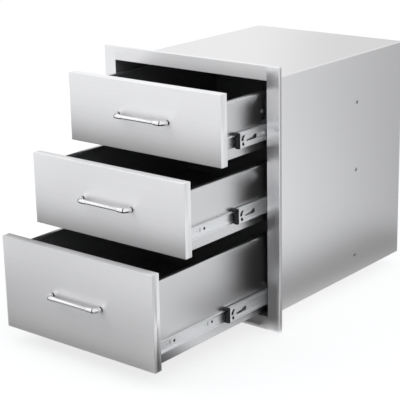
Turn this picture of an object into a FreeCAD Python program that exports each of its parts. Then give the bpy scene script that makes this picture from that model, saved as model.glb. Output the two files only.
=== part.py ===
import FreeCAD, Part
import math
import os

# Built-in outdoor kitchen drawer unit: a flanged steel cabinet with three drawers, each on a
# pair of telescopic ball bearing slides. It stands as photographed, with the drawers pulled out.
# Millimetres. X to the right, Y to the back, Z up. The origin is the centre of the cabinet's underside.

V = FreeCAD.Vector

# Front frame, the flange that laps over the edge of the cut-out
frame_width = 457.0
frame_height = 550.0
frame_margin_side = 30.0
frame_margin_end = 29.0
frame_depth = 8.0
frame_fold = 14.0
sheet = 1.0

# Cabinet
cabinet_depth = 509.0
wall_lap = 1.0
corner_bend = 2.5
pan_lip = 12.0
pan_gap = 1.0

# Holes through both sides, behind the flange, for the screws that fix the cabinet in its cut-out
fixing_hole_r = 2.25
fixing_set_back = 15.0
fixing_spacing = 360.0

# Drawer fronts
front_thickness = 19.0
front_side_gap = 1.5
front_end_gap = 2.0
front_gap = 3.0
front_edge = 1.2
front_heights = {"top": 142.0, "middle": 147.0, "bottom": 193.0}
back_fold_side = 16.0
back_fold_top = 30.0
back_fold_bottom = 14.0

# Drawer boxes
box_length = 450.0
box_drop = 22.0
box_rise = 7.0
rim_width = 9.0
rim_drop = 5.0
rim_bend = 2.5

# Slides: three members and two ball cages in the gap between drawer and cabinet
slide_gap = 12.7
slide_rise = 41.0
slide_set_back = 22.0
slide_length = 450.0
slide_travel = 225.0
rail_gauge = 1.2
ball_r = 1.25
groove_r = 1.3

# Slide section: across is counted outward from the drawer's side, up from the middle of the slide
outer_ball_across = 9.4
outer_ball_up = 15.5
inner_ball_across = 4.4
inner_ball_up = 13.15
inner_race_mouth = 0.4
flange_tip = 6.2
cabinet_rail_half = 18.0
cabinet_flange = 1.7
extension_web = 9.5
extension_gauge = 1.1
extension_half = 15.5
extension_recess = 0.8
extension_recess_half = 8.0
extension_recess_bevel = 1.0
extension_lip = 2.0
drawer_rail_half = 12.3
drawer_flange = 1.4
web_bend = 1.1

# Holes in the webs, placed by their distance from the front end and height above the middle.
# Outlines are such pairs, a slot adds its length and height, and a hole its radius.
latch_outline = ((4.4, -1.8), (11.4, -1.8), (12.2, 3.0), (16.2, 7.4), (11.6, 10.4), (5.4, 4.6))
keyhole_outline = (
    (20.4, -3.2),
    (22.0, -4.6),
    (51.4, -4.6),
    (53.2, -3.0),
    (53.2, 2.8),
    (51.4, 4.6),
    (46.4, 4.6),
    (37.0, 0.4),
    (20.8, -1.4),
)
extension_hole = (10.0, -8.4, 4.0)
drawer_rail_slot = (33.6, 0.0, 3.6, 8.8)
drawer_rail_hole = (47.0, 0.0, 3.2)
drawer_rail_hole_groups = (0.0, 114.0)

# Ball cages
cage_length = 150.0
outer_cage_clearance = 8.0
inner_cage_clearance = 18.0
cage_end = 6.0
cage_gauge = 0.4
cage_overhang = 1.6
balls_in_row = 3

# Stop block on the front end of each extension rail. It has a horned edge and a lip over the drawer
# rail in front of that end, and a tongue behind it that backs the latch slot and the round hole.
stop_length = 16.0
stop_half = 15.3
stop_clearance = 2.0
stop_across = 6.7
stop_thickness = 3.7
stop_wing = 1.8
stop_wing_lengths = {1: 16.0, -1: 5.5}
stop_lip = 2.6
stop_tongue = (16.4, 11.8)
stop_outline = (
    (0, -15.3),
    (0, 15.3),
    (16.0, 15.3),
    (16.0, 13.6),
    (6.5, 13.3),
    (6.0, 11.2),
    (15.6, 9.4),
    (12.4, 2.0),
    (12.8, -3.6),
    (16.0, -10.2),
    (8.5, -11.2),
    (5.5, -15.3),
)

# How far each drawer, and the extension rails that carry it, are out in the photographed pose
pulled_out = {"top": 143.0, "middle": 255.0, "bottom": 351.0}
rail_out = {"top": 83.0, "middle": 90.0, "bottom": 122.0}

# Pull handle, a bow with thicker elbows
handle_span = 128.0
handle_reach = 20.0
handle_elbow_r = 12.0
handle_thick_r = 5.2
handle_thin_r = 3.8
handle_sleeve = 2.0
handle_taper = 9.0
handle_sides = 10
elbow_steps = 4

# Fasteners
rivet_set_backs = (34.0, 325.0)
rivet_head_r = 4.2
rivet_head_h = 1.3
rivet_shank_r = 2.0
screw_r = 2.0
screw_hole_r = 2.3
screw_head_r = 4.2
screw_head_h = 2.4
screw_bite = 7.0
head_sides = 8
shank_sides = 6

# Derived places. Set-backs and the distances pulled out are counted from the front of the frame.
drawer_names = ("top", "middle", "bottom")
opening_half = frame_width / 2 - frame_margin_side
cabinet_half = opening_half + wall_lap
cabinet_inner = cabinet_half - sheet
cabinet_height = frame_height - 2 * frame_margin_end + 2 * wall_lap
frame_bottom = wall_lap - frame_margin_end
front_y = -(cabinet_depth + sheet) / 2
back_y = front_y + sheet + cabinet_depth
box_half = cabinet_inner - slide_gap
front_half = opening_half - front_side_gap
rail_closed = slide_set_back + stop_length + stop_clearance
rail_length = slide_set_back + slide_length - rail_closed


def front_bottoms():
    """Height of each drawer front's lower edge, stacked from the bottom of the opening."""
    bottoms = {}
    z = wall_lap + front_end_gap
    for name in reversed(drawer_names):
        bottoms[name] = z
        z += front_heights[name] + front_gap
    return bottoms


front_z = front_bottoms()
slide_z = {name: front_z[name] + slide_rise for name in drawer_names}
handle_z = {name: front_z[name] + front_heights[name] / 2 for name in drawer_names}
panel_y = {name: front_y - pulled_out[name] for name in drawer_names}
rail_y = {name: front_y - rail_out[name] for name in drawer_names}
rail_travel = {name: rail_out[name] + rail_closed for name in drawer_names}
drawer_travel = {name: pulled_out[name] - rail_travel[name] for name in drawer_names}


def placed(axis, a, b, start):
    """A point of a flat section that is drawn across the given axis."""
    if axis == "X":
        return V(start, a, b)
    if axis == "Y":
        return V(a, start, b)
    return V(a, b, start)


def rounded_outline(corners, axis, start):
    """Closed wire through corners given as (a, b, radius); a radius of 0 leaves the corner sharp."""
    ends = []
    for i, (a, b, radius) in enumerate(corners):
        here = V(a, b, 0)
        if radius == 0:
            ends.append((here, None, here))
            continue
        before = V(*corners[i - 1][:2], 0) - here
        after = V(*corners[(i + 1) % len(corners)][:2], 0) - here
        before.normalize()
        after.normalize()
        half = before.getAngle(after) / 2
        setback = radius / math.tan(half)
        bisector = before + after
        bisector.normalize()
        middle = here + bisector * (radius / math.sin(half) - radius)
        ends.append((here + before * setback, middle, here + after * setback))
    edges = []
    for i, corner in enumerate(ends):
        arc_in, middle, arc_out = (placed(axis, p.x, p.y, start) if p else None for p in corner)
        if middle:
            edges.append(Part.Arc(arc_in, middle, arc_out).toShape())
        following = ends[(i + 1) % len(ends)][0]
        edges.append(Part.LineSegment(arc_out, placed(axis, following.x, following.y, start)).toShape())
    return Part.Wire(edges)


def prism(corners, axis, start, length):
    """Solid of a flat section pushed along its axis; corners are (a, b) or (a, b, radius)."""
    push = {"X": V(length, 0, 0), "Y": V(0, length, 0), "Z": V(0, 0, length)}[axis]
    full = [corner if len(corner) == 3 else (*corner, 0) for corner in corners]
    return Part.Face(rounded_outline(full, axis, start)).extrude(push)


def stub(sides, radius, axis, a, b, start, length):
    """Short bar or hole with a few flats in place of a round one."""
    angles = [math.tau * (i + 0.5) / sides for i in range(sides)]
    corners = [(a + radius * math.cos(angle), b + radius * math.sin(angle)) for angle in angles]
    return prism(corners, axis, start, length)


def block(x0, x1, y0, y1, z0, z1):
    return Part.makeBox(x1 - x0, y1 - y0, z1 - z0, V(x0, y0, z0))


def mirrored(solid):
    return solid.mirror(V(0, 0, 0), V(1, 0, 0))


def round_front_edges(solid, y, radius):
    """Round the edges that lie in the plane of a front face."""
    edges = [e for e in solid.Edges if all(abs(v.Y - y) < 1e-6 for v in e.Vertexes)]
    return solid.makeFillet(radius, edges)


def folded_sheet(path, bend, axis, start, length):
    """Sheet folded along a centre line path; bend is the inside radius of its folds."""
    left = []
    right = []
    for i, (a, b) in enumerate(path):
        here = V(a, b, 0)
        arrive = here - V(*path[i - 1], 0) if i else V(*path[1], 0) - here
        leave = V(*path[i + 1], 0) - here if i + 1 < len(path) else arrive
        arrive.normalize()
        leave.normalize()
        turn = arrive.x * leave.y - arrive.y * leave.x
        normal = V(-arrive.y - leave.y, arrive.x + leave.x, 0)
        normal.normalize()
        reach = sheet / 2 / normal.dot(V(-arrive.y, arrive.x, 0))
        inner, outer = (bend, bend + sheet) if bend and abs(turn) > 1e-6 else (0, 0)
        left_r, right_r = (inner, outer) if turn > 0 else (outer, inner)
        left.append((a + normal.x * reach, b + normal.y * reach, left_r))
        right.append((a - normal.x * reach, b - normal.y * reach, right_r))
    return prism(left + right[::-1], axis, start, length)


def front_frame():
    """Flange: face sheet with the opening, outer returns and a fold that bears on the cut-out."""
    half = frame_width / 2
    top = frame_bottom + frame_height
    rear = front_y + frame_depth
    behind = front_y + sheet
    solid = round_front_edges(block(-half, half, front_y, rear, frame_bottom, top), front_y, sheet)
    inner = half - sheet
    solid = solid.cut(block(-inner, inner, behind, rear - sheet, frame_bottom + sheet, top - sheet))
    fold = half - frame_fold
    solid = solid.cut(block(-fold, fold, behind, rear, frame_bottom + frame_fold, top - frame_fold))
    opening_top = top - frame_margin_end
    return solid.cut(block(-opening_half, opening_half, front_y, behind, wall_lap, opening_top))


def cabinet_wrap():
    """Top and both sides bent from one sheet, with holes for the fixing screws and the rivets."""
    side = cabinet_half - sheet / 2
    roof = cabinet_height - sheet / 2
    path = [(side, 0), (side, roof), (-side, roof), (-side, 0)]
    solid = folded_sheet(path, corner_bend, "Y", front_y + sheet, cabinet_depth - sheet)
    hole_y = front_y + fixing_set_back
    for z in (cabinet_height / 2 - fixing_spacing / 2, cabinet_height / 2 + fixing_spacing / 2):
        drill = Part.makeCylinder(fixing_hole_r, frame_width, V(-frame_width / 2, hole_y, z), V(1, 0, 0))
        solid = solid.cut(drill)
    for y, z in rivet_places():
        solid = solid.cut(stub(shank_sides, rivet_shank_r, "X", y, z, -cabinet_half, 2 * cabinet_half))
    return solid


def rivet_places():
    """Depth and height of the rivets that hold each cabinet rail."""
    return [(front_y + back, slide_z[name]) for name in drawer_names for back in rivet_set_backs]


def cabinet_floor():
    """Bottom pan, with lips turned up against the sides."""
    side = cabinet_inner - sheet / 2
    path = [(side, pan_lip), (side, sheet / 2), (-side, sheet / 2), (-side, pan_lip)]
    return folded_sheet(path, 0, "Y", front_y + sheet, cabinet_depth - sheet)


def cabinet_back():
    """Back pan, its lips turned forward inside the wrap and notched for the bends of its top corners."""
    side = cabinet_inner - sheet / 2
    low = pan_lip + pan_gap
    high = cabinet_height - sheet
    wall = back_y - 1.5 * sheet
    lip = back_y - pan_lip
    path = [(side, lip), (side, wall), (-side, wall), (-side, lip)]
    pan = folded_sheet(path, 0, "Z", low, high - low)
    skirt_half = cabinet_inner - sheet - pan_gap
    skirt = block(-skirt_half, skirt_half, back_y - 2 * sheet, back_y - sheet, sheet, low)
    solid = pan.fuse(skirt).removeSplitter()
    for hand in (1, -1):
        x0, x1 = sorted((hand * cabinet_inner, hand * (cabinet_inner - corner_bend)))
        solid = solid.cut(block(x0, x1, lip, back_y, high - corner_bend, high))
    return solid


def chain(*points):
    """Straight items of a section through points that follow each other."""
    return [list(pair) for pair in zip(points, points[1:])]


def groove(ball_across, ball_up, level, side):
    """Arc of a ball groove whose mouth is at the level; side is 1 for a groove cut upward, -1 downward."""
    half = math.sqrt(groove_r**2 - (level - ball_up) ** 2)
    return [(ball_across - half, level), (ball_across, ball_up + side * groove_r), (ball_across + half, level)]


def rail_solid(upper, z, y0, length):
    """Rail whose section is the upper half given, as lines and arcs, and its mirror image below."""
    edges = []
    for sign in (1, -1):
        for item in upper:
            points = [V(box_half + across, y0, z + sign * up) for across, up in item]
            shape = Part.Arc(*points) if len(points) == 3 else Part.LineSegment(*points)
            edges.append(shape.toShape())
    section = Part.Face(Part.Wire(Part.__sortEdges__(edges)))
    return section.extrude(V(0, length, 0))


def punch_slot(rail, across, y0, z, slot):
    """Punch a slot with chamfered corners through a rail's web."""
    along, up, length, height = slot
    a = length / 2
    b = height / 2
    c = min(a, b) * 0.58
    corners = [(a - c, -b), (a, c - b), (a, b - c), (a - c, b), (c - a, b), (-a, b - c), (-a, c - b), (c - a, -b)]
    outline = [(y0 + along + p, z + up + q) for p, q in corners]
    return rail.cut(prism(outline, "X", box_half + across - rail_gauge, 2 * rail_gauge))


def punch_hole(rail, across, y0, z, hole):
    along, up, radius = hole
    start = box_half + across - rail_gauge
    return rail.cut(stub(shank_sides, radius, "X", y0 + along, z + up, start, 2 * rail_gauge))


def cabinet_rail(name):
    """Outer member: channel riveted to the cabinet wall, its flanges grooved for the outer balls."""
    outer = slide_gap
    web = outer - rail_gauge
    half = cabinet_rail_half
    under = half - cabinet_flange
    race = groove(outer_ball_across, outer_ball_up, under, 1)
    upper = chain((outer, 0), (outer, half - web_bend), (outer - web_bend, half), (flange_tip, half))
    upper += chain((flange_tip, half), (flange_tip, under), race[0])
    upper += [race]
    upper += chain(race[2], (web, under), (web, 0))
    solid = rail_solid(upper, slide_z[name], front_y + slide_set_back, slide_length)
    for back in rivet_set_backs:
        hole = stub(shank_sides, rivet_shank_r, "X", front_y + back, slide_z[name], box_half + web, rail_gauge)
        solid = solid.cut(hole)
    return solid


def extension_rail(name):
    """Middle member: grooved above its flanges for the outer balls and under them for the inner balls."""
    y0 = rail_y[name]
    z = slide_z[name]
    outer = extension_web + extension_gauge
    crest = extension_half
    land = crest - 0.5
    under = inner_ball_up + inner_race_mouth
    outer_race = groove(outer_ball_across, outer_ball_up, land, -1)
    inner_race = groove(inner_ball_across, inner_ball_up, under, 1)
    shoulder = outer_race[0][0] - 0.8
    sunk = extension_recess_half
    step = sunk + extension_recess_bevel
    upper = chain((outer - extension_recess, 0), (outer - extension_recess, sunk), (outer, step), outer_race[2])
    upper += [outer_race]
    upper += chain(outer_race[0], (shoulder, crest), (extension_lip + web_bend, crest))
    upper += chain((extension_lip + web_bend, crest), (extension_lip, crest - web_bend), (extension_lip, under))
    upper += chain((extension_lip, under), inner_race[0])
    upper += [inner_race]
    inner = extension_web - extension_recess
    upper += chain(inner_race[2], (extension_web, under), (extension_web, step), (inner, sunk), (inner, 0))
    solid = rail_solid(upper, z, y0, rail_length)
    for outline in (latch_outline, keyhole_outline):
        corners = [(y0 + along, z + up) for along, up in outline]
        solid = solid.cut(prism(corners, "X", box_half + inner, outer - inner))
    return punch_hole(solid, extension_web, y0, z, extension_hole)


def drawer_rail(name):
    """Inner member: channel on the drawer's side, its flanges grooved for the inner balls."""
    y0 = panel_y[name] + slide_set_back
    z = slide_z[name]
    half = drawer_rail_half
    under = half - drawer_flange
    race = groove(inner_ball_across, inner_ball_up, half, -1)
    upper = chain((0, 0), (0, half - web_bend), (web_bend, half), race[0])
    upper += [race]
    upper += chain(race[2], (flange_tip, half), (flange_tip, under), (rail_gauge, under), (rail_gauge, 0))
    solid = rail_solid(upper, z, y0, slide_length)
    for group in drawer_rail_hole_groups:
        solid = punch_slot(solid, 0, y0 + group, z, drawer_rail_slot)
        solid = punch_hole(solid, 0, y0 + group, z, drawer_rail_hole)
    return solid


def bearing_ball(across, y, z):
    """Ball with twelve flats, the common part of three square bars on edge."""
    flat = ball_r / math.sqrt(2)
    centre = V(box_half + across, y, z)
    ball = None
    for long in (V(1, 0, 0), V(0, 1, 0), V(0, 0, 1)):
        reach = V(flat, flat, flat) + long * (2 * ball_r - flat)
        bar = Part.makeBox(2 * reach.x, 2 * reach.y, 2 * reach.z, centre - reach)
        bar.rotate(centre, long, 45)
        ball = ball.common(bar) if ball else bar
    return ball


def ball_cage(z, y0, ball_across, ball_up, strip_up, web):
    """Pressed channel between two rails, with a row of captive balls along each edge."""
    tip = ball_across - cage_overhang
    inner = strip_up - cage_gauge
    upper = [(web, strip_up), (tip, strip_up), (tip, inner), (web - cage_gauge, inner)]
    corners = [(box_half + across, z + up) for across, up in upper]
    corners += [(box_half + across, z - up) for across, up in reversed(upper)]
    solid = prism(corners, "Y", y0, cage_length)
    pitch = (cage_length - 2 * cage_end) / (balls_in_row - 1)
    for i in range(balls_in_row):
        for up in (ball_up, -ball_up):
            solid = solid.fuse(bearing_ball(ball_across, y0 + cage_end + i * pitch, z + up))
    return solid


def outer_cage(name):
    """Cage between the cabinet rail and the extension rail; it travels half as far as the latter."""
    y0 = front_y + slide_set_back + slide_travel / 2 + outer_cage_clearance - rail_travel[name] / 2
    gap = (slide_gap - rail_gauge + extension_web + extension_gauge) / 2
    web = gap + cage_gauge / 2
    return ball_cage(slide_z[name], y0, outer_ball_across, outer_ball_up, outer_ball_up + cage_gauge / 2, web)


def inner_cage(name):
    """Cage between the extension rail and the drawer rail; it travels half as far as the drawer."""
    y0 = rail_y[name] + slide_travel / 2 + inner_cage_clearance - drawer_travel[name] / 2
    web = extension_web - extension_recess - cage_gauge
    strip_up = (drawer_rail_half + inner_ball_up) / 2 + cage_gauge / 2
    return ball_cage(slide_z[name], y0, inner_ball_across, inner_ball_up, strip_up, web)


def rail_stop(name):
    """Moulded black stop, held on the front end of the extension rail by the tongue inside its web."""
    z = slide_z[name]
    y1 = rail_y[name]
    inner = box_half + stop_across
    side = prism([(y1 - along, z + up) for along, up in stop_outline], "X", inner, stop_thickness)
    for sign, wing_length in stop_wing_lengths.items():
        low, high = sorted((z + sign * stop_half, z + sign * (stop_half - stop_wing)))
        side = side.fuse(block(box_half + stop_lip, inner, y1 - wing_length, y1, low, high))
    behind, half = stop_tongue
    web = box_half + extension_web - extension_recess
    side = side.fuse(block(inner, web, y1 - stop_wing, y1 + behind, z - half, z + half))
    return side.removeSplitter()


def drawer_front(name):
    """Folded box panel, closed behind by folds that the drawer's front wall laps over."""
    z0 = front_z[name]
    z1 = z0 + front_heights[name]
    y0 = panel_y[name]
    y1 = y0 + front_thickness
    solid = round_front_edges(block(-front_half, front_half, y0, y1, z0, z1), y0, front_edge)
    inner = front_half - sheet
    solid = solid.cut(block(-inner, inner, y0 + sheet, y1 - sheet, z0 + sheet, z1 - sheet))
    window = front_half - back_fold_side
    solid = solid.cut(block(-window, window, y1 - sheet, y1, z0 + back_fold_bottom, z1 - back_fold_top))
    for x in (-handle_span / 2, handle_span / 2):
        solid = solid.cut(stub(shank_sides, screw_hole_r, "Y", x, handle_z[name], y0, sheet))
    return solid


def drawer_box(name):
    """Open box: one sheet forms floor, sides and their turned-in rims, with both end walls welded in.

    The bend from each side into its rim is three flats, each turned by 30 degrees.
    """
    z0 = front_z[name] + box_rise
    z1 = front_z[name] + front_heights[name] - box_drop
    y0 = panel_y[name] + front_thickness
    half = box_half - sheet / 2
    rim = box_half - rim_width
    upper = z1 - sheet / 2
    lower = z0 + sheet / 2
    near = rim_bend * math.tan(math.pi / 12)
    far = rim_bend - near
    bend = [(half - far, upper), (half - near, upper - near), (half, upper - far)]
    right = [(rim, z1 - rim_drop), (rim, upper), *bend, (half, lower)]
    path = right + [(-a, b) for a, b in reversed(right)]
    tray = folded_sheet(path, 0, "Y", y0, box_length)
    inner = box_half - sheet
    front = block(-inner, inner, y0, y0 + sheet, z0 + sheet, z1 - sheet)
    back = block(-inner, inner, y0 + box_length - sheet, y0 + box_length, z0 + sheet, z1 - sheet)
    solid = tray.fuse([front, back]).removeSplitter()
    for x in (-handle_span / 2, handle_span / 2):
        solid = solid.cut(stub(shank_sides, screw_hole_r, "Y", x, handle_z[name], y0, sheet))
    return solid


def bow_stations():
    """Rings of the right half of the bow: place across, place forward, turn of the bow and radius."""
    centre = handle_span / 2 - handle_elbow_r
    bar = handle_reach - handle_thick_r
    stations = [(handle_span / 2, 0, 0, handle_thick_r)]
    for i in range(elbow_steps + 1):
        turn = math.pi / 2 * i / elbow_steps
        across = centre + handle_elbow_r * math.cos(turn)
        forward = bar - handle_elbow_r + handle_elbow_r * math.sin(turn)
        stations.append((across, forward, turn, handle_thick_r))
    stations.append((centre - handle_sleeve, bar, math.pi / 2, handle_thick_r))
    stations.append((centre - handle_sleeve - handle_taper, bar, math.pi / 2, handle_thin_r))
    return stations


def skin(rings):
    """Solid closed by flat panels between rings of points that follow each other, and by its end rings."""
    outlines = [rings[0], rings[-1]]
    for ring, following in zip(rings, rings[1:]):
        for i in range(len(ring)):
            outlines.append([ring[i - 1], ring[i], following[i], following[i - 1]])
    faces = [Part.Face(Part.makePolygon(outline + outline[:1])) for outline in outlines]
    shell = Part.makeShell(faces)
    shell.sewShape()
    return Part.makeSolid(shell)


def drawer_handle(name):
    """Bow pull skinned over rings from foot to foot, bored at both feet for its screws."""
    y0 = panel_y[name]
    z = handle_z[name]
    half = bow_stations()
    stations = [(1, *station) for station in half] + [(-1, *station) for station in reversed(half)]
    rings = []
    for hand, across, forward, turn, radius in stations:
        points = []
        for i in range(handle_sides):
            angle = math.tau * (i + 0.5) / handle_sides
            out = radius * math.cos(angle)
            up = radius * math.sin(angle)
            points.append(V(hand * (across + out * math.cos(turn)), y0 - forward - out * math.sin(turn), z + up))
        rings.append(points)
    bow = skin(rings)
    for x in (-handle_span / 2, handle_span / 2):
        bow = bow.cut(stub(shank_sides, screw_r, "Y", x, z, y0 - screw_bite, screw_bite))
    return bow


def handle_screws(name):
    """Two screws from inside the drawer, through its front wall and the panel, into the handle."""
    outside = panel_y[name]
    inside = outside + front_thickness + sheet
    z = handle_z[name]
    screws = []
    for x in (-handle_span / 2, handle_span / 2):
        head = stub(head_sides, screw_head_r, "Y", x, z, inside, screw_head_h)
        shank = stub(shank_sides, screw_r, "Y", x, z, outside - screw_bite, inside - outside + screw_bite)
        screws.append(head.fuse(shank))
    return Part.makeCompound(screws)


def rail_rivets():
    """Rivets through the cabinet's sides and the cabinet rails."""
    grip = sheet + rail_gauge
    rivets = []
    for y, z in rivet_places():
        head = stub(head_sides, rivet_head_r, "X", y, z, cabinet_half, rivet_head_h)
        rivet = head.fuse(stub(shank_sides, rivet_shank_r, "X", y, z, cabinet_half - grip, grip))
        rivets.extend([rivet, mirrored(rivet)])
    return Part.makeCompound(rivets)


def export(name, shape):
    shape.exportStep(os.path.join("parts", name + ".step"))


def export_pair(name, right):
    export(name + "_right", right)
    export(name + "_left", mirrored(right))


os.makedirs("parts", exist_ok=True)
export("front_frame", front_frame())
export("cabinet_wrap", cabinet_wrap())
export("cabinet_floor", cabinet_floor())
export("cabinet_back", cabinet_back())
export("rail_rivets", rail_rivets())
for drawer in drawer_names:
    export(drawer + "_drawer_front", drawer_front(drawer))
    export(drawer + "_drawer_box", drawer_box(drawer))
    export(drawer + "_handle", drawer_handle(drawer))
    export(drawer + "_handle_screws", handle_screws(drawer))
    export_pair(drawer + "_cabinet_rail", cabinet_rail(drawer))
    export_pair(drawer + "_extension_rail", extension_rail(drawer))
    export_pair(drawer + "_drawer_rail", drawer_rail(drawer))
    export_pair(drawer + "_outer_cage", outer_cage(drawer))
    export_pair(drawer + "_inner_cage", inner_cage(drawer))
    export_pair(drawer + "_rail_stop", rail_stop(drawer))
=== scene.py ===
import math

import bpy
from mathutils import Euler, Matrix, Vector


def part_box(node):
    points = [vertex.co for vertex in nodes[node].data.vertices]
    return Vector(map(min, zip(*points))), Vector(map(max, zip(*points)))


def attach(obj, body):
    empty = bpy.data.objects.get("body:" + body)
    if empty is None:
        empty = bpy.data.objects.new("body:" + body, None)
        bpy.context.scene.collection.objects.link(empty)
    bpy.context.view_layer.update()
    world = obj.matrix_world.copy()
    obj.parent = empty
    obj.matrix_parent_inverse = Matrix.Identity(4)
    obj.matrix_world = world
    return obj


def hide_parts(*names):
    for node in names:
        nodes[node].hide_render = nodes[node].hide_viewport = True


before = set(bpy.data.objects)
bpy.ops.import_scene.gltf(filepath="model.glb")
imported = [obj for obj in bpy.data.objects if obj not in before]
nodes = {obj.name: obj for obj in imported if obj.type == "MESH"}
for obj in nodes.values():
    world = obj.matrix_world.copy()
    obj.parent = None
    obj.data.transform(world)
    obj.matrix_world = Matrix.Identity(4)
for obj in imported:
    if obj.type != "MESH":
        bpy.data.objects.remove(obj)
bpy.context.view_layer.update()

# Outdoor kitchen drawer unit, dressed in its finishes. Metres, in the same frame as the CAD.

drawers = ("top", "middle", "bottom")
hands = ("left", "right")
mm = 0.001
print("stage 1: frame loaded,", len(nodes), "nodes")


# Camera at the photograph's viewing angle

photoCamera = {
    "place": (1.669, -2.2595, 1.0146),
    "azimuth": 39.35,
    "elevation": 17.02,
    "roll": -1.23,
    "lens": 117.42,
    "sensor": 36.0,
}


def addCamera(view):
    bpy.ops.object.camera_add(location=view["place"])
    camera = bpy.context.object
    camera.name = "photoCamera"
    turn = Matrix.Rotation(math.radians(view["azimuth"]), 4, "Z")
    tilt = Matrix.Rotation(math.radians(90 - view["elevation"]), 4, "X")
    roll = Matrix.Rotation(math.radians(view["roll"]), 4, "Z")
    camera.rotation_euler = (turn @ tilt @ roll).to_euler()
    camera.data.sensor_width = view["sensor"]
    camera.data.lens = view["lens"]
    bpy.context.scene.camera = camera


addCamera(photoCamera)


# Studio: pale floor, white surroundings, two soft lamps and the cards that the metal mirrors, which paint
# shade into its reflections

studio = {
    "floorSize": 14.0,
    "floorDrop": 1 * mm,
    "floorColour": (0.32, 0.32, 0.32),
    "floorGlow": 0.76,
    "skyColour": (0.93, 0.96, 1.0),
    "skyStrength": 0.8,
}
lamps = {
    "keyLamp": {"place": (-1.7, -1.9, 2.9), "aim": (0.0, -0.2, 0.25), "size": 1.6, "power": 9},
    "fillLamp": {"place": (2.4, 0.9, 2.2), "aim": (0.1, 0.0, 0.25), "size": 1.6, "power": 5},
}
cards = {  # soft is how far a card fades at its edges; one with an aim stands upright and faces that way
    "frontCard": {"place": (-0.2, -0.8, -0.024), "size": (1.0, 0.5), "soft": (0.25, 0.2), "tone": 0.15},
    "leftCard": {"place": (-0.5, -0.6, -0.022), "size": (0.5, 0.6), "soft": (0.2, 0.2), "tone": 0.1},
    "cameraCard": {"place": (0.6, -0.67, -0.022), "size": (0.9, 0.56), "soft": (0.1, 0.12), "tone": 0.05},
    "farCard": {"place": (1.35, -1.5, -0.023), "size": (1.0, 0.6), "soft": (0.2, 0.2), "tone": 0.04},
    # painted shadow: the floor's shadow under the drawers, which the metal mirrors
    "underShadowCard": {
        "place": (-0.05, -0.42, -0.021),
        "size": (0.474, 0.5),
        "soft": (0.015, 0.12),
        "tone": 0.05,
    },
    # painted shadow: the floor's shadow beside the cabinet, which the metal mirrors
    "besideShadowCard": {
        "place": (0.32, 0.08, -0.023),
        "size": (0.28, 0.96),
        "soft": (0.12, 0.2),
        "tone": 0.25,
    },
    "barBoard": {
        "place": (-0.01, -0.262, -0.012),
        "size": (0.4, 0.036),
        "aim": (0, 1, 0),
        "soft": (0.01, 0.002),
        "tone": 0.12,
    },
    "stileBoard": {
        "place": (0.2, -0.262, 0.03),
        "size": (0.05, 0.16),
        "aim": (0, 1, 0),
        "soft": (0.004, 0.05),
        "tone": 0.13,
    },
    "rimBoard": {
        "place": (0.2325, -0.247, 0.25),
        "size": (0.0075, 0.56),
        "aim": (0, -1, 0),
        "soft": (0.001, 0.02),
        "tone": 0.3,
    },
    "sideCard": {
        "place": (0.339, 1.255, -0.024),
        "size": (2.6, 1.9),
        "turn": 52.3,
        "soft": (0.2, 0.67),
        "tone": 0.4,
    },
    "sideBoard": {
        "place": (0.95, 2.046, 0.55),
        "size": (1.9, 1.3),
        "aim": (-0.612, -0.791, 0),
        "soft": (0.67, 0.15),
        "tone": 0.4,
    },
    "overCard": {
        "place": (-0.3, 1.2, 0.9),
        "size": (1.3, 0.9),
        "aim": (0, -1, 0),
        "soft": (0.4, 0.4),
        "tone": 0.7,
    },
}
aprons = {  # a level card below each drawer front, which darkens its lower edge
    "left": 0.22,
    "right": 0.02,
    "drop": 3 * mm,
    "endFade": 0.05,
    "reachFade": 0.6,
    "reachAndTone": {"top": (0.12, 0.01), "middle": (0.12, 0.01), "bottom": (0.045, 0.12)},
}
boards = {  # upright strips in front of the flange, which the sides of drawers and slides mirror
    "face": -0.2575,
    "width": 0.26,
    "slope": 0.458,  # how steeply they fall to the right, to run level in the drawers' sides
    "upperFade": 4 * mm,
    "tone": 0.02,
    "strips": {  # right edge, lower and upper end, fade at the right edge
        "topSheet": (0.262, 0.396, 0.468, 0.05),
        "topRails": (0.24, 0.35, 0.396, 0.015),
        "middleSheet": (0.277, 0.24, 0.323, 0.045),
        "middleRails": (0.24, 0.2, 0.246, 0.015),
        "bottomSheet": (0.32, 0.06, 0.171, 0.09),
        "bottomRails": (0.24, 0.015, 0.06, 0.015),
    },
}


def addLamp(name, lamp):
    place = Vector(lamp["place"])
    bpy.ops.object.light_add(type="AREA", location=place)
    light = bpy.context.object
    light.name = name
    light.rotation_euler = (Vector(lamp["aim"]) - place).to_track_quat("-Z", "Y").to_euler()
    light.data.size = lamp["size"]
    light.data.energy = lamp["power"]


def largest(tree, values):
    most = values[0]
    for value in values[1:]:
        larger = tree.nodes.new("ShaderNodeMath")
        larger.operation = "MAXIMUM"
        tree.links.new(most, larger.inputs[0])
        tree.links.new(value, larger.inputs[1])
        most = larger.outputs[0]
    return most


def mixed(tree, share, first, second):
    mix = tree.nodes.new("ShaderNodeMixShader")
    tree.links.new(share, mix.inputs[0])
    tree.links.new(first, mix.inputs[1])
    tree.links.new(second, mix.inputs[2])
    return mix.outputs[0]


def backgroundRays(tree):  # 1 for camera, glossy and transmission rays, 0 for light that falls on things
    path = tree.nodes.new("ShaderNodeLightPath")
    rays = ("Is Camera Ray", "Is Glossy Ray", "Is Transmission Ray")
    return largest(tree, [path.outputs[ray] for ray in rays])


def setWorld():
    world = bpy.data.worlds.new("studioWorld")
    bpy.context.scene.world = world
    world.use_nodes = True
    tree = world.node_tree
    tree.nodes.clear()
    out = tree.nodes.new("ShaderNodeOutputWorld")
    sky = tree.nodes.new("ShaderNodeBackground")
    sky.inputs["Color"].default_value = (*studio["skyColour"], 1)
    sky.inputs["Strength"].default_value = studio["skyStrength"]
    white = tree.nodes.new("ShaderNodeBackground")
    white.inputs["Color"].default_value = (1, 1, 1, 1)
    look = mixed(tree, backgroundRays(tree), sky.outputs[0], white.outputs[0])
    tree.links.new(look, out.inputs["Surface"])


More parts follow.
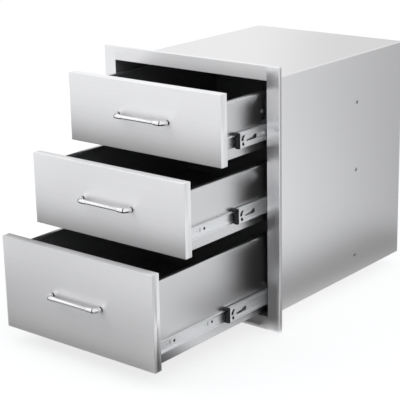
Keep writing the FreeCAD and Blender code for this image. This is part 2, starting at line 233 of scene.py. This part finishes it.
def emptyMaterial(name):
    mat = bpy.data.materials.new(name)
    mat.use_nodes = True
    tree = mat.node_tree
    tree.nodes.clear()
    out = tree.nodes.new("ShaderNodeOutputMaterial")
    return mat, tree, out.inputs["Surface"]


def addFloor():
    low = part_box("front_frame")[0]
    bpy.ops.mesh.primitive_plane_add(size=studio["floorSize"], location=(0, 0, low.z - studio["floorDrop"]))
    floor = bpy.context.object
    floor.name = "studioFloor"
    mat, tree, surface = emptyMaterial("paleFloor")
    matte = tree.nodes.new("ShaderNodeBsdfDiffuse")
    matte.inputs["Color"].default_value = (*studio["floorColour"], 1)
    glow = tree.nodes.new("ShaderNodeEmission")
    level = tree.nodes.new("ShaderNodeMath")
    level.operation = "MULTIPLY"
    level.inputs[1].default_value = studio["floorGlow"]
    tree.links.new(backgroundRays(tree), level.inputs[0])
    tree.links.new(level.outputs[0], glow.inputs["Strength"])
    both = tree.nodes.new("ShaderNodeAddShader")
    tree.links.new(matte.outputs[0], both.inputs[0])
    tree.links.new(glow.outputs[0], both.inputs[1])
    tree.links.new(both.outputs[0], surface)
    floor.data.materials.append(mat)


def edgeFade(tree, half, soft, axis, slope):  # 0 at the card's edge and 1 where it is full
    coords = tree.nodes.new("ShaderNodeTexCoord")
    split = tree.nodes.new("ShaderNodeSeparateXYZ")
    tree.links.new(coords.outputs["Object"], split.inputs[0])
    lean = tree.nodes.new("ShaderNodeMath")
    lean.operation = "MULTIPLY_ADD"
    lean.inputs[1].default_value = slope * axis  # only the upper and lower edges lean
    tree.links.new(split.outputs[0], lean.inputs[0])
    tree.links.new(split.outputs[axis], lean.inputs[2])
    size = tree.nodes.new("ShaderNodeMath")
    size.operation = "ABSOLUTE"
    tree.links.new(lean.outputs[0], size.inputs[0])
    fade = tree.nodes.new("ShaderNodeMapRange")
    fade.interpolation_type = "SMOOTHSTEP"
    fade.inputs["From Min"].default_value = half
    fade.inputs["From Max"].default_value = half - soft
    tree.links.new(size.outputs[0], fade.inputs["Value"])
    return fade.outputs[0]


def addCard(name, card):  # one tone with soft edges, seen by glossy rays only
    turn = Euler((0, 0, math.radians(card.get("turn", 0))))
    if "aim" in card:
        turn = Vector(card["aim"]).to_track_quat("Z", "Y").to_euler()
    bpy.ops.mesh.primitive_plane_add(size=1, location=card["place"], rotation=turn)
    plane = bpy.context.object
    plane.name = name
    slope = card.get("slope", 0)
    plane.scale = (card["size"][0], card["size"][1] + slope * card["size"][0], 1)
    bpy.ops.object.transform_apply(location=False, rotation=False, scale=True)
    for kind in ("camera", "diffuse", "transmission", "shadow", "volume_scatter"):
        setattr(plane, "visible_" + kind, False)
    mat, tree, surface = emptyMaterial(name + "Tone")
    tone = tree.nodes.new("ShaderNodeEmission")
    tone.inputs["Color"].default_value = (card["tone"],) * 3 + (1,)
    clear = tree.nodes.new("ShaderNodeBsdfTransparent")
    cover = tree.nodes.new("ShaderNodeMath")
    cover.operation = "MULTIPLY"
    for axis in (0, 1):
        fade = edgeFade(tree, card["size"][axis] / 2, card["soft"][axis], axis, slope)
        tree.links.new(fade, cover.inputs[axis])
    share = cover.outputs[0]
    if "aim" in card:  # an upright card shows on one side only
        side = tree.nodes.new("ShaderNodeNewGeometry")
        front = tree.nodes.new("ShaderNodeMath")
        front.operation = "SUBTRACT"
        front.use_clamp = True
        tree.links.new(share, front.inputs[0])
        tree.links.new(side.outputs["Backfacing"], front.inputs[1])
        share = front.outputs[0]
    tree.links.new(mixed(tree, share, clear.outputs[0], tone.outputs[0]), surface)
    plane.data.materials.append(mat)


def addApron(drawer, reach, tone):
    frontLow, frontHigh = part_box(drawer + "_drawer_front")
    left = frontLow.x - aprons["left"]
    right = frontHigh.x + aprons["right"]
    apron = {
        "place": ((left + right) / 2, frontLow.y, frontLow.z - aprons["drop"]),
        "size": (right - left, 2 * reach),
        "soft": (aprons["endFade"], aprons["reachFade"] * reach),
        "tone": tone,
    }
    addCard(drawer + "Apron", apron)


def addBoard(name, edge, lower, upper, fade):
    centre = edge - boards["width"] / 2
    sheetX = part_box("top_drawer_box")[1].x
    level = (lower + upper) / 2 - boards["slope"] * (centre - sheetX)
    board = {
        "place": (centre, boards["face"], level),
        "size": (boards["width"], upper - lower),
        "aim": (0, -1, 0),
        "soft": (fade, boards["upperFade"]),
        "tone": boards["tone"],
        "slope": boards["slope"],
    }
    addCard(name, board)


for lampName, lamp in lamps.items():
    addLamp(lampName, lamp)
for cardName, card in cards.items():
    addCard(cardName, card)
for drawer, (reach, tone) in aprons["reachAndTone"].items():
    addApron(drawer, reach, tone)
for stripName, strip in boards["strips"].items():
    addBoard(stripName + "Board", *strip)
setWorld()
addFloor()
bpy.context.scene.view_settings.view_transform = "Standard"
print("stage 2: camera, lamps and floor")


# Finishes

grainNoise = {
    "detail": 3.0,
    "darkest": 0.2,
    "lightest": 0.8,
    "relief": 0.1 * mm,
}
brushedAcross = {
    "colour": (0.88, 0.88, 0.89),
    "contrast": 0.02,
    "rough": 0.42,
    "brushed": 0.85,
    "around": "X",
    "grain": (5, 900, 900),
    "bump": 0.1,
}
brushedUpright = dict(brushedAcross, around="Z", rough=0.32, grain=(900, 900, 5))
cabinetSteel = {
    "colour": (0.8, 0.8, 0.81),
    "contrast": 0.008,
    "rough": 0.33,
    "grain": (700, 8, 700),
    "bump": 0.03,
}
drawerSteel = dict(cabinetSteel, colour=(0.62, 0.62, 0.63), rough=0.28)
zincPlate = dict(cabinetSteel, colour=(0.82, 0.83, 0.84), metallic=0.8, rough=0.42, grain=(900, 20, 900))
# painted shade: the cages are near-black so that the slots in the slides show the shade behind them
shadedCageSteel = dict(cabinetSteel, colour=(0.12, 0.12, 0.125), rough=0.35)
chromePlate = {
    "colour": (0.82, 0.82, 0.83),
    "contrast": 0.0,
    "rough": 0.12,
    "grain": (40, 40, 40),
    "bump": 0.0,
}
rivetSteel = dict(cabinetSteel, colour=(0.3, 0.3, 0.31), rough=0.25, grain=(300, 300, 300))
# painted shade: a near-black coat on the insides of the cabinet and the drawers, which are stainless steel
# lying in shade
paintedShadeCoat = {
    "colour": (0.16, 0.16, 0.162),
    "contrast": 0.15,
    "rough": 0.35,
    "roughSpread": 0.15,
    "shine": 0.5,
    "grain": (600, 600, 600),
    "bump": 0.1,
}
blackAcetal = {
    "colour": (0.006, 0.006, 0.007),
    "contrast": 0.3,
    "rough": 0.5,
    "roughSpread": 0.15,
    "shine": 0.2,
    "grain": (500, 500, 500),
    "bump": 0.1,
}
sheet = {  # the bends are how far from a corner the inside stays bright
    "thick": 1 * mm,
    "cabinetBend": 3.5 * mm,
    "drawerBend": 3 * mm,
}
farOff = 9.0  # beyond the unit in every direction


def streaks(tree, scale):  # noise drawn out along the brushing, from the piece's own coordinates
    coords = tree.nodes.new("ShaderNodeTexCoord")
    mapping = tree.nodes.new("ShaderNodeMapping")
    mapping.inputs["Scale"].default_value = scale
    noise = tree.nodes.new("ShaderNodeTexNoise")
    noise.inputs["Scale"].default_value = 1.0
    noise.inputs["Detail"].default_value = grainNoise["detail"]
    tree.links.new(coords.outputs["Object"], mapping.inputs["Vector"])
    tree.links.new(mapping.outputs[0], noise.inputs["Vector"])
    return noise.outputs["Fac"]


def spread(tree, grain, low, high):  # from low where the grain is darkest to high where it is lightest
    level = tree.nodes.new("ShaderNodeMapRange")
    level.interpolation_type = "SMOOTHSTEP"
    level.inputs["From Min"].default_value = grainNoise["darkest"]
    level.inputs["From Max"].default_value = grainNoise["lightest"]
    level.inputs["To Min"].default_value = low
    level.inputs["To Max"].default_value = high
    tree.links.new(grain, level.inputs["Value"])
    return level.outputs[0]


def grained(tree, finish):  # a shader whose colour and surface follow the grain
    shader = tree.nodes.new("ShaderNodeBsdfPrincipled")
    grain = streaks(tree, finish["grain"])
    tint = tree.nodes.new("ShaderNodeMix")
    tint.data_type = "RGBA"
    tint.inputs["A"].default_value = (*[c * (1 - finish["contrast"]) for c in finish["colour"]], 1)
    tint.inputs["B"].default_value = (*[c * (1 + finish["contrast"]) for c in finish["colour"]], 1)
    tree.links.new(spread(tree, grain, 0, 1), tint.inputs["Factor"])
    tree.links.new(tint.outputs["Result"], shader.inputs["Base Color"])
    bump = tree.nodes.new("ShaderNodeBump")
    bump.inputs["Strength"].default_value = finish["bump"]
    bump.inputs["Distance"].default_value = grainNoise["relief"]
    tree.links.new(grain, bump.inputs["Height"])
    tree.links.new(bump.outputs[0], shader.inputs["Normal"])
    return shader, grain


def metal(tree, finish):
    shader = grained(tree, finish)[0]
    shader.inputs["Metallic"].default_value = finish.get("metallic", 1.0)
    shader.inputs["Roughness"].default_value = finish["rough"]
    if "brushed" in finish:
        shader.inputs["Anisotropic"].default_value = finish["brushed"]
        tangent = tree.nodes.new("ShaderNodeTangent")
        tangent.direction_type = "RADIAL"
        tangent.axis = finish["around"]
        tree.links.new(tangent.outputs[0], shader.inputs["Tangent"])
    return shader.outputs[0]


def plastic(tree, finish):
    shader, grain = grained(tree, finish)
    shader.inputs["Specular IOR Level"].default_value = finish["shine"]
    smoothest = finish["rough"] * (1 - finish["roughSpread"])
    roughest = finish["rough"] * (1 + finish["roughSpread"])
    tree.links.new(spread(tree, grain, smoothest, roughest), shader.inputs["Roughness"])
    return shader.outputs[0]


def insideOf(tree, low, high):  # 1 inside a box in the piece's own coordinates and 0 outside it
    coords = tree.nodes.new("ShaderNodeTexCoord")
    centred = tree.nodes.new("ShaderNodeMapping")
    centred.inputs["Location"].default_value = -(low + high) / 2
    tree.links.new(coords.outputs["Object"], centred.inputs["Vector"])
    size = tree.nodes.new("ShaderNodeVectorMath")
    size.operation = "ABSOLUTE"
    tree.links.new(centred.outputs[0], size.inputs[0])
    past = tree.nodes.new("ShaderNodeVectorMath")
    past.operation = "SUBTRACT"
    past.inputs[1].default_value = (high - low) / 2
    tree.links.new(size.outputs[0], past.inputs[0])
    split = tree.nodes.new("ShaderNodeSeparateXYZ")
    tree.links.new(past.outputs[0], split.inputs[0])
    inside = tree.nodes.new("ShaderNodeMath")
    inside.operation = "LESS_THAN"
    inside.inputs[1].default_value = 0.0
    tree.links.new(largest(tree, list(split.outputs)), inside.inputs[0])
    return inside.outputs[0]


def oneFinish(name, maker, finish):
    mat, tree, surface = emptyMaterial(name)
    tree.links.new(maker(tree, finish), surface)
    return mat


def darkInside(name, finish, low, high, bend):  # paints shade on the insides of the sheet, in a wide and a tall box, so that the bends stay bright
    mat, tree, surface = emptyMaterial(name)
    wide = insideOf(tree, low, high - Vector((0, 0, bend)))
    tall = insideOf(tree, low + Vector((bend, 0, 0)), high - Vector((bend, 0, 0)))
    either = largest(tree, (wide, tall))
    tree.links.new(mixed(tree, either, metal(tree, finish), plastic(tree, paintedShadeCoat)), surface)
    return mat


def frameFinish(name, half):  # upright brushing on the stiles, level brushing on the bars between them
    mat, tree, surface = emptyMaterial(name)
    corner = Vector((half, farOff, farOff))
    bars = insideOf(tree, -corner, corner)
    tree.links.new(mixed(tree, bars, metal(tree, brushedUpright), metal(tree, brushedAcross)), surface)
    return mat


def give(mat, *names):
    for name in names:
        nodes[name].data.materials.clear()
        nodes[name].data.materials.append(mat)


sheetHalf = Vector((1, 1, 1)) * sheet["thick"] / 2
wrapLow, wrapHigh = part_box("cabinet_wrap")
frameMat = frameFinish("brushedFrame", wrapHigh.x - sheet["thick"])
cabinetMat = darkInside(
    "cabinetSheet", cabinetSteel, wrapLow + sheetHalf, wrapHigh - sheetHalf, sheet["cabinetBend"]
)
frontMat = oneFinish("brushedFront", metal, brushedAcross)
zincMat = oneFinish("zincPlate", metal, zincPlate)
cageMat = oneFinish("shadedCageSteel", metal, shadedCageSteel)
chromeMat = oneFinish("polishedChrome", metal, chromePlate)
rivetMat = oneFinish("fastenerSteel", metal, rivetSteel)
stopMat = oneFinish("blackAcetal", plastic, blackAcetal)
give(frameMat, "front_frame")
give(cabinetMat, "cabinet_wrap", "cabinet_floor", "cabinet_back")
give(rivetMat, "rail_rivets")
for drawer in drawers:
    boxLow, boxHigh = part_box(drawer + "_drawer_box")
    boxMat = darkInside(
        drawer + "DrawerSheet", drawerSteel, boxLow + sheetHalf, boxHigh - sheetHalf, sheet["drawerBend"]
    )
    give(boxMat, drawer + "_drawer_box")
    give(frontMat, drawer + "_drawer_front")
    give(chromeMat, drawer + "_handle")
    give(rivetMat, drawer + "_handle_screws")
    for hand in hands:
        for rail in ("cabinet_rail_", "extension_rail_", "drawer_rail_"):
            give(zincMat, drawer + "_" + rail + hand)
        for cage in ("outer_cage_", "inner_cage_"):
            give(cageMat, drawer + "_" + cage + hand)
        give(stopMat, drawer + "_rail_stop_" + hand)
print("stage 3: finishes")


# Pieces modelled here. They ride on the CAD bodies and stand for the plainer CAD nodes.

meshCare = {
    "merge": 0.001 * mm,
    "nearby": 0.01 * mm,
    "smoothAngle": 40,
}


def deselectAll():
    if bpy.context.object and bpy.context.object.mode != "OBJECT":
        bpy.ops.object.mode_set(mode="OBJECT")
    bpy.ops.object.select_all(action="DESELECT")


def alone(obj):
    deselectAll()
    obj.select_set(True)
    bpy.context.view_layer.objects.active = obj


def pushOut(step):  # extrudes the selected ring or face and leaves the new one selected
    bpy.ops.mesh.extrude_region_move(TRANSFORM_OT_translate={"value": step})


def settle(obj):  # puts the object at the origin with its place in its mesh
    alone(obj)
    bpy.ops.object.transform_apply(location=True, rotation=True, scale=True)
    bpy.ops.object.mode_set(mode="EDIT")
    bpy.ops.mesh.select_all(action="SELECT")
    bpy.ops.mesh.remove_doubles(threshold=meshCare["merge"])
    bpy.ops.mesh.normals_make_consistent(inside=False)
    bpy.ops.object.mode_set(mode="OBJECT")
    bpy.ops.object.shade_smooth_by_angle(angle=math.radians(meshCare["smoothAngle"]))


def copyOf(source, name, place=(0, 0, 0), turn=(0, 0, 0), scale=(1, 1, 1)):
    alone(source)
    bpy.ops.object.duplicate(linked=False)
    twin = bpy.context.object
    twin.name = name
    twin.location = place
    twin.rotation_euler = turn
    twin.scale = scale
    settle(twin)
    return twin


def joined(pieces):  # one object, which keeps the name of the first
    alone(pieces[0])
    for piece in pieces[1:]:
        piece.select_set(True)
    bpy.ops.object.join()
    return pieces[0]


def finishPiece(piece, body, mat, slotName, *replaced):
    piece.data.materials.clear()
    piece.data.materials.append(mat)
    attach(piece, body)
    if replaced:
        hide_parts(*replaced)


# Bow handle, turned foot to foot with a ring groove at each foot, and black rings: a painted dark
# reflection on each elbow and painted shadow at each foot

handlePull = {
    "sides": 36,
    "foot": 64 * mm,
    "thick": 4.9 * mm,
    "thin": 3.7 * mm,
    "footRings": ((0.5, 4.9), (0.6, 3.8), (2.2, 3.8), (2.3, 4.9), (2.8, 4.9)),  # mm forward, radius
    "bendRadius": 12 * mm,
    "bendSteps": 14,
    "sleeve": 8 * mm,
    "taperRings": ((1.0, 0.93), (2.0, 0.7), (3.0, 0.4), (4.0, 0.12), (5.0, 0.0)),  # mm along, share
    # painted reflection: a thin black band round each elbow
    "elbowShadeRadius": 5.05 * mm,
    "elbowShadeFrom": 21,  # degrees before the bar
    "elbowShadeTurn": 6,
    "elbowShadeSteps": 4,
    # black washers under the feet, which also paint the contact shadow there
    "washerShadeRadius": 5.1 * mm,
    "washerShade": 1.2 * mm,
}


def bowHandle(name, panelY, height):
    pull = handlePull
    deselectAll()
    bpy.ops.mesh.primitive_circle_add(
        vertices=pull["sides"],
        radius=pull["thick"],
        fill_type="NGON",
        location=(pull["foot"], panelY, height),
        rotation=(math.pi / 2, 0, 0),
    )
    bow = bpy.context.object
    bow.name = name
    bpy.ops.object.mode_set(mode="EDIT")
    forward, radius = 0, pull["thick"]
    for nextForward, nextRadius in pull["footRings"]:
        pushOut((0, (forward - nextForward) * mm, 0))
        grow = nextRadius * mm / radius
        ringAt = (pull["foot"], panelY - nextForward * mm, height)
        bpy.ops.transform.resize(value=(grow, 1, grow), center_override=ringAt)
        forward, radius = nextForward, nextRadius * mm
    bendAt = (pull["foot"] - pull["bendRadius"], panelY - forward * mm, height)
    bpy.ops.mesh.spin(steps=pull["bendSteps"], angle=math.pi / 2, center=bendAt, axis=(0, 0, 1))
    barY = bendAt[1] - pull["bendRadius"]
    pushOut((-pull["sleeve"], 0, 0))
    begin = bendAt[0] - pull["sleeve"]
    across = begin
    for along, share in pull["taperRings"]:
        wanted = pull["thin"] + share * (pull["thick"] - pull["thin"])
        pushOut((begin - along * mm - across, 0, 0))
        across = begin - along * mm
        grow = wanted / radius
        bpy.ops.transform.resize(value=(1, grow, grow), center_override=(across, barY, height))
        radius = wanted
    pushOut((-across, 0, 0))
    bpy.ops.mesh.delete(type="FACE")  # the cap at the middle, where the other half joins on
    bpy.ops.object.mode_set(mode="OBJECT")
    alone(bow)
    bpy.ops.object.transform_apply(location=True, rotation=True, scale=True)
    bpy.ops.object.mode_set(mode="EDIT")
    bpy.ops.mesh.select_all(action="SELECT")
    bpy.ops.mesh.symmetrize(direction="POSITIVE_X")
    bpy.ops.object.mode_set(mode="OBJECT")
    settle(bow)
    return bow


def ringDisc(radius, place, turn):  # a round disc, left in edit mode to be drawn out
    deselectAll()
    bpy.ops.mesh.primitive_circle_add(
        vertices=handlePull["sides"],
        radius=radius,
        fill_type="NGON",
        location=place,
        rotation=(math.pi / 2, 0, turn),
    )
    bpy.ops.object.mode_set(mode="EDIT")
    return bpy.context.object


def handleRings(name, panelY, height):  # black bands on the elbows, a painted reflection, and black washers at the feet, which also paint the shadow where the feet meet the panel
    pull = handlePull
    centre = Vector((pull["foot"] - pull["bendRadius"], panelY - pull["footRings"][-1][0] * mm, height))
    first = math.radians(90 - pull["elbowShadeFrom"] - pull["elbowShadeTurn"])
    arm = Vector((math.cos(first), -math.sin(first), 0)) * pull["bendRadius"]
    angle = math.radians(pull["elbowShadeTurn"])
    elbowShade = ringDisc(pull["elbowShadeRadius"], centre + arm, -first)
    bpy.ops.mesh.spin(steps=pull["elbowShadeSteps"], angle=angle, center=centre, axis=(0, 0, 1))
    bpy.ops.object.mode_set(mode="OBJECT")
    washerShade = ringDisc(pull["washerShadeRadius"], (pull["foot"], panelY, height), 0)
    pushOut((0, -pull["washerShade"], 0))
    bpy.ops.object.mode_set(mode="OBJECT")
    settle(joined([elbowShade, washerShade]))
    twin = copyOf(elbowShade, name, scale=(-1, 1, 1))
    return joined([twin, elbowShade])


for drawer in drawers:
    handleLow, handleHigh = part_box(drawer + "_handle")
    level = (handleLow.z + handleHigh.z) / 2
    bow = bowHandle(drawer + "BowHandle", handleHigh.y, level)
    finishPiece(bow, drawer + "_drawer", chromeMat, "polished_chrome", drawer + "_handle")
    rings = handleRings(drawer + "HandleShadeRings", handleHigh.y, level)
    finishPiece(rings, drawer + "_drawer", stopMat, "black_stop")
print("stage 4: handles")


# Smooth copies of the CAD nodes that show, merged, with their sharp edges eased

easing = {
    "flatAngle": 0.5,
    "smoothAngle": 32,
    "cornerAngle": 40,
    "segments": 2,
}
easedNodes = {  # edge is the width of the eased edges in mm
    "front_frame": {"edge": 0.25, "body": "cabinet", "slot": "brushed_stainless"},
    "cabinet_wrap": {"edge": 0.2, "body": "cabinet", "slot": "cabinet_stainless"},
    "drawer_front": {"edge": 0.25, "body": "drawer", "slot": "brushed_stainless"},
    "drawer_box": {"edge": 0.2, "body": "drawer", "slot": "drawer_stainless"},
    "drawer_rail": {"edge": 0.12, "body": "drawer", "slot": "zinc_rail"},
    "extension_rail": {"edge": 0.12, "body": "slide_rails", "slot": "zinc_rail"},
    "cabinet_rail": {"edge": 0.12, "body": "cabinet", "slot": "zinc_rail"},
    "rail_stop": {"edge": 0.35, "body": "slide_rails", "slot": "black_stop"},
}


def easedCopy(node, edge):
    mesh = nodes[node].data.copy()
    words = node.split("_")
    piece = bpy.data.objects.new(words[0] + "".join(word.capitalize() for word in words[1:]), mesh)
    bpy.context.scene.collection.objects.link(piece)
    alone(piece)
    bpy.ops.object.mode_set(mode="EDIT")
    bpy.ops.mesh.select_all(action="SELECT")
    bpy.ops.mesh.remove_doubles(threshold=meshCare["merge"])
    bpy.ops.mesh.dissolve_limited(angle_limit=math.radians(easing["flatAngle"]))
    bpy.ops.object.mode_set(mode="OBJECT")
    bpy.ops.object.shade_smooth_by_angle(angle=math.radians(easing["smoothAngle"]))
    bevel = piece.modifiers.new("easedEdges", "BEVEL")
    bevel.width = edge * mm
    bevel.segments = easing["segments"]
    bevel.limit_method = "ANGLE"
    bevel.angle_limit = math.radians(easing["cornerAngle"])
    bevel.harden_normals = True
    bpy.ops.object.modifier_apply(modifier="easedEdges")
    return piece


def easeNode(node, plan, body):
    piece = easedCopy(node, plan["edge"])
    finishPiece(piece, body, nodes[node].data.materials[0], plan["slot"], node)


for part, plan in easedNodes.items():
    if part in nodes:
        easeNode(part, plan, plan["body"])
        continue
    for drawer in drawers:
        body = "cabinet" if plan["body"] == "cabinet" else drawer + "_" + plan["body"]
        whole = drawer + "_" + part
        present = [whole] if whole in nodes else [whole + "_" + hand for hand in hands]
        for node in present:
            easeNode(node, plan, body)
print("stage 5: eased sheet metal, rails and stops")


# Pan head screws with a cross recess: steel ones hold the handles, black ones the drawer rails, where their
# black is painted shade in the rails' holes

crossScrew = {
    "sides": 32,
    "rings": ((0.9, 4.1), (1.7, 3.7), (2.15, 2.9), (2.3, 1.9)),  # mm up, radius
    "recess": (3.6, 0.9, 1.4),  # mm long, wide and deep
    "handleSpan": 128 * mm,
    "railSink": 0.3 * mm,
    "railHeads": {"scale": (0.68, 0.68, 0.68), "places": (47, 161)},  # mm from the rail's front end
    "railDots": {"scale": (0.3, 0.3, 0.72), "places": (24.4, 138.4)},
}


def roundHead(name, plan):  # built up ring by ring from its base at the origin
    deselectAll()
    radius = plan["rings"][0][1] * mm
    bpy.ops.mesh.primitive_circle_add(
        vertices=plan["sides"], radius=radius, fill_type="NGON", location=(0, 0, 0)
    )
    head = bpy.context.object
    head.name = name
    bpy.ops.object.mode_set(mode="EDIT")
    high = 0
    for up, ring in plan["rings"]:
        pushOut((0, 0, (up - high) * mm))
        grow = ring * mm / radius
        bpy.ops.transform.resize(value=(grow, grow, 1), center_override=(0, 0, up * mm))
        high, radius = up, ring * mm
    bpy.ops.object.mode_set(mode="OBJECT")
    return head


def screwHead():
    head = roundHead("screwMaster", crossScrew)
    high = crossScrew["rings"][-1][0]
    long, wide, deep = crossScrew["recess"]
    for turn in (0, math.pi / 2):
        deselectAll()
        bpy.ops.mesh.primitive_cube_add(size=1, location=(0, 0, high * mm), rotation=(0, 0, turn))
        blade = bpy.context.object
        blade.scale = (long * mm, wide * mm, 2 * deep * mm)
        alone(blade)
        bpy.ops.object.transform_apply(location=True, rotation=True, scale=True)
        alone(head)
        cut = head.modifiers.new("crossRecess", "BOOLEAN")
        cut.operation = "DIFFERENCE"
        cut.solver = "EXACT"
        cut.object = blade
        bpy.ops.object.modifier_apply(modifier="crossRecess")
        alone(blade)
        bpy.ops.object.delete()
    settle(head)
    return head


def railScrews(drawer, hand, side, web):
    railLow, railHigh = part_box(drawer + "_drawer_rail_" + hand)
    level = (railLow.z + railHigh.z) / 2
    count = 0
    for kind in ("railHeads", "railDots"):
        for along in crossScrew[kind]["places"]:
            count += 1
            name = drawer + "RailScrew" + hand.capitalize() + str(count)
            place = (side * web, railLow.y + along * mm, level)
            screw = copyOf(screwMaster, name, place, (0, side * math.pi / 2, 0), crossScrew[kind]["scale"])
            # the black of these rail screws is painted shade, standing in for the dark of the rail's holes
            finishPiece(screw, drawer + "_drawer", stopMat, "black_stop")


screwMaster = screwHead()
for drawer in drawers:
    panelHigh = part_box(drawer + "_drawer_front")[1]
    handleLow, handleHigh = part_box(drawer + "_handle")
    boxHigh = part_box(drawer + "_drawer_box")[1]
    middle = (handleLow.z + handleHigh.z) / 2
    pair = []
    for side in (-1, 1):
        place = (side * crossScrew["handleSpan"] / 2, panelHigh.y + sheet["thick"], middle)
        pair.append(copyOf(screwMaster, drawer + "HandleScrew", place, (-math.pi / 2, 0, 0)))
    screws = joined(pair)
    finishPiece(screws, drawer + "_drawer", rivetMat, "fastener_steel", drawer + "_handle_screws")
    for hand, side in zip(hands, (-1, 1)):
        railScrews(drawer, hand, side, boxHigh.x - crossScrew["railSink"])
alone(screwMaster)
bpy.ops.object.delete()
print("stage 6: screws")


# Domed blind rivets along both sides, each with the hole that its pin left

blindRivet = {
    "sides": 28,
    "rings": ((0.35, 4.15), (0.75, 3.7), (1.1, 2.9), (1.28, 1.9), (1.3, 1.15), (0.6, 1.1)),  # mm up, radius
    "boxReach": 4.2 * math.cos(math.pi / 8) * mm,  # from a rivet's axis to the end of the CAD rivets' box
}

rivetMaster = roundHead("rivetMaster", blindRivet)
settle(rivetMaster)
rivets = []
rivetLow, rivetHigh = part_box("rail_rivets")
for drawer in drawers:
    railLow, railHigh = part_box(drawer + "_cabinet_rail_right")
    level = (railLow.z + railHigh.z) / 2
    for back in (rivetLow.y + blindRivet["boxReach"], rivetHigh.y - blindRivet["boxReach"]):
        for side in (-1, 1):
            place = (side * wrapHigh.x, back, level)
            rivets.append(copyOf(rivetMaster, "railRivet", place, (0, side * math.pi / 2, 0)))
allRivets = joined(rivets)
finishPiece(allRivets, "cabinet", rivetMat, "fastener_steel", "rail_rivets")
allRivets.name = "railRivets"
alone(rivetMaster)
bpy.ops.object.delete()
print("stage 7: rivets")


# Ball cages: a pressed strip, bent over at both edges, with a row of round balls along each edge

ballCage = {
    "gauge": 0.4 * mm,
    "ballRadius": 1.22 * mm,
    "ballSegments": 12,
    "ballRings": 8,
    "ballsInRow": 13,
    "endGap": 6 * mm,
    "overhang": 1.6 * mm,
    "stripHalf": {"outer": 15.7 * mm, "inner": 12.925 * mm},
    "ballHalf": {"outer": 15.5 * mm, "inner": 13.15 * mm},
}


def selectWhere(piece, test):
    alone(piece)
    for vertex in piece.data.vertices:
        vertex.select = test(vertex.co)
    for edge in piece.data.edges:
        edge.select = all(piece.data.vertices[i].select for i in edge.vertices)
    for face in piece.data.polygons:
        face.select = all(piece.data.vertices[i].select for i in face.vertices)
    bpy.ops.object.mode_set(mode="EDIT")
    bpy.ops.mesh.select_mode(type="EDGE")


def cageStrip(kind, low, high):
    middle = (low + high) / 2
    web = high.x - ballCage["gauge"] / 2
    half = ballCage["stripHalf"][kind] - ballCage["gauge"] / 2
    deselectAll()
    place = (web, middle.y, middle.z)
    bpy.ops.mesh.primitive_plane_add(size=1, location=place, rotation=(0, math.pi / 2, 0))
    strip = bpy.context.object
    strip.name = kind + "CageMaster"
    strip.scale = (2 * half, high.y - low.y, 1)
    alone(strip)
    bpy.ops.object.transform_apply(location=True, rotation=True, scale=True)
    for side in (1, -1):
        edgeZ = middle.z + side * half
        selectWhere(strip, lambda co: abs(co.z - edgeZ) < meshCare["nearby"])
        pushOut((low.x - web, 0, 0))
        bpy.ops.object.mode_set(mode="OBJECT")
    skin = strip.modifiers.new("sheetGauge", "SOLIDIFY")
    skin.thickness = ballCage["gauge"]
    skin.offset = 0
    bpy.ops.object.modifier_apply(modifier="sheetGauge")
    return strip


def cageBalls(kind, low, high):
    balls = []
    middleZ = (low.z + high.z) / 2
    gap = (high.y - low.y - 2 * ballCage["endGap"]) / (ballCage["ballsInRow"] - 1)
    for i in range(ballCage["ballsInRow"]):
        ballY = low.y + ballCage["endGap"] + i * gap
        for side in (1, -1):
            bpy.ops.mesh.primitive_uv_sphere_add(
                segments=ballCage["ballSegments"],
                ring_count=ballCage["ballRings"],
                radius=ballCage["ballRadius"],
                location=(low.x + ballCage["overhang"], ballY, middleZ + side * ballCage["ballHalf"][kind]),
            )
            balls.append(bpy.context.object)
    return balls


for kind in ("outer", "inner"):
    firstLow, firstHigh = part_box("top_" + kind + "_cage_right")
    strip = cageStrip(kind, firstLow, firstHigh)
    master = joined([strip] + cageBalls(kind, firstLow, firstHigh))
    settle(master)
    for drawer in drawers:
        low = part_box(drawer + "_" + kind + "_cage_right")[0]
        shift = low - firstLow
        for hand, side in zip(hands, (-1, 1)):
            name = drawer + kind.capitalize() + "Cage" + hand.capitalize()
            cage = copyOf(master, name, shift, (0, 0, 0), (side, 1, 1))
            body = drawer + "_" + kind + "_cages"
            finishPiece(cage, body, cageMat, "cage_steel", drawer + "_" + kind + "_cage_" + hand)
    alone(master)
    bpy.ops.object.delete()
print("stage 8: ball cages")
